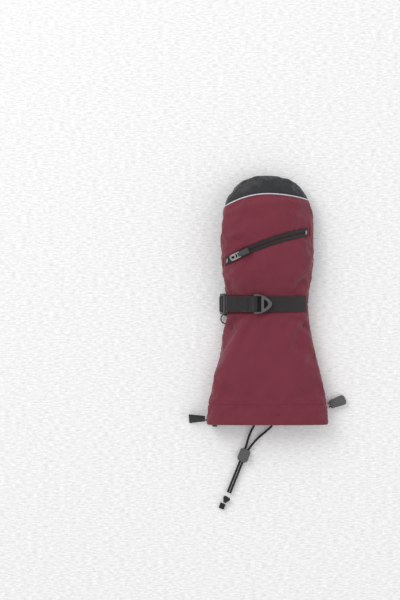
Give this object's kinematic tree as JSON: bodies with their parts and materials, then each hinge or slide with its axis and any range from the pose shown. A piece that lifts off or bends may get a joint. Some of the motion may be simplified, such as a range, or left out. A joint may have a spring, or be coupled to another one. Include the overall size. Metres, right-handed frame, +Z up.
{
  "type": "ski mitten",
  "caption": "Right-hand ski mitten with a long gauntlet cuff, wrist strap with ladder lock, pocket zip on the back, folding thumb, hem drawcord and wrist leash.",
  "frame": {"origin": "middle of the mitten's overall length and width, on the surface it lies on palm down", "axes": "+Y towards the fingertips, +Z up through the back of the hand, +X towards the outer (little finger) side; the thumb is at -X"},
  "size_m": [0.2053, 0.4345, 0.0596],
  "materials": {
    "shell_red": "matt woven shell cloth",
    "cap_black": "matt woven cloth",
    "palm_black": "soft coated grip cloth with a slight sheen",
    "webbing_black": "ribbed webbing and braided cord",
    "lining_grey": "brushed pile",
    "padding_white": "lofted fibre",
    "membrane_grey": "thin film",
    "plastic_grey": "satin moulded plastic",
    "silver_metal": "satin plated metal",
    "black_steel": "black plated wire",
    "reflective_grey": "light grey reflective piping",
    "patch_grey": "light grey sewn patch"
  },
  "bodies": {
    "mitten": {"back_shell": "shell_red", "cuff_shell": "shell_red", "hem_band": "shell_red", "fingertip_cap": "cap_black", "zipper_tape_upper": "cap_black", "zipper_tape_lower": "cap_black", "zipper_coil_upper": "cap_black", "zipper_coil_lower": "cap_black", "palm_panel": "palm_black", "hem_cord": "webbing_black", "wrist_elastic": "webbing_black", "pocket_bag": "webbing_black", "strap_anchor": "webbing_black", "base_strap": "webbing_black", "ring_loop": "webbing_black", "cord_lock_tie": "webbing_black", "drawcord_end": "webbing_black", "leash_strand_a": "webbing_black", "leash_strand_b": "webbing_black", "leash_knot": "webbing_black", "leash_tail": "webbing_black", "leash_anchor": "webbing_black", "fleece_lining": "lining_grey", "cuff_lining": "lining_grey", "hand_insulation": "padding_white", "waterproof_membrane": "membrane_grey", "cord_lock_body": "plastic_grey", "zipper_stop_start": "silver_metal", "zipper_stop_end": "silver_metal", "hem_eyelet": "silver_metal", "cord_lock_spring": "black_steel", "reflective_piping": "reflective_grey", "cuff_patch": "patch_grey"},
    "thumb": {"thumb_shell": "palm_black", "thumb_insulation": "padding_white", "thumb_lining": "lining_grey"},
    "zip_slider": {"zipper_slider": "silver_metal"},
    "zip_pull": {"zipper_pull": "plastic_grey"},
    "lock": {"ladder_lock": "plastic_grey", "strap_turn": "webbing_black"},
    "tail": {"strap_tail": "webbing_black"},
    "pull": {"triangle_pull": "plastic_grey"},
    "ring": {"clip_ring": "black_steel"},
    "button": {"cord_lock_button": "plastic_grey"},
    "tab": {"hem_pull_tab": "webbing_black"},
    "grip": {"cord_grip": "plastic_grey", "grip_loop": "webbing_black"},
    "wrist_leash_slider": {"leash_slider": "plastic_grey"}
  },
  "joints": [
    {"name": "thumb_swing", "type": "hinge", "parent": "mitten", "child": "thumb", "pos_m": [-0.022, 0.0335, 0.01], "axis": [0, 0, 1], "range_deg": [0, 40]},
    {"name": "zip_travel", "type": "hinge", "parent": "mitten", "child": "zip_slider", "pos_m": [-0.00308, 0.01718, -0.08127], "axis": [-0.3649, 0.8576, -0.3625], "range_deg": [0, 35.9]},
    {"name": "zip_pull_flip", "type": "hinge", "parent": "zip_slider", "child": "zip_pull", "pos_m": [-0.03739, 0.05897, 0.05663], "axis": [0.4389, -0.8981, -0.0278], "range_deg": [0, 150]},
    {"name": "lock_tilt", "type": "hinge", "parent": "mitten", "child": "lock", "pos_m": [-0.05972, -0.0045, 0.00901], "axis": [0, -1, 0], "range_deg": [0, 50]},
    {"name": "tail_lift", "type": "hinge", "parent": "lock", "child": "tail", "pos_m": [-0.0535, -0.0045, 0.03198], "axis": [0, -1, 0], "range_deg": [0, 70]},
    {"name": "pull_flip", "type": "hinge", "parent": "tail", "child": "pull", "pos_m": [-0.0165, -0.0045, 0.04118], "axis": [0, -1, 0], "range_deg": [0, 120]},
    {"name": "ring_swing", "type": "hinge", "parent": "mitten", "child": "ring", "pos_m": [-0.0542, -0.0177, 0.0034], "axis": [-1, 0, 0], "range_deg": [-90, 4]},
    {"name": "button_press", "type": "slide", "parent": "mitten", "child": "button", "axis": [0, 1, 0], "range_m": [0, 0.003], "stiffness_N_per_m": 250, "springref_m": -0.002, "deforming": ["cord_lock_spring"]},
    {"name": "tab_lift", "type": "hinge", "parent": "mitten", "child": "tab", "pos_m": [-0.081, -0.154, 0.00743], "axis": [0, 1, 0], "range_deg": [0, 65]},
    {"name": "grip_lift", "type": "hinge", "parent": "mitten", "child": "grip", "pos_m": [0.07941, -0.13705, 0.00365], "axis": [0, -1, 0], "range_deg": [0, 80]},
    {"name": "leash_adjust", "type": "slide", "parent": "mitten", "child": "wrist_leash_slider", "axis": [-0.3746, -0.9272, 0], "range_m": [0, 0.03]}
  ]
}
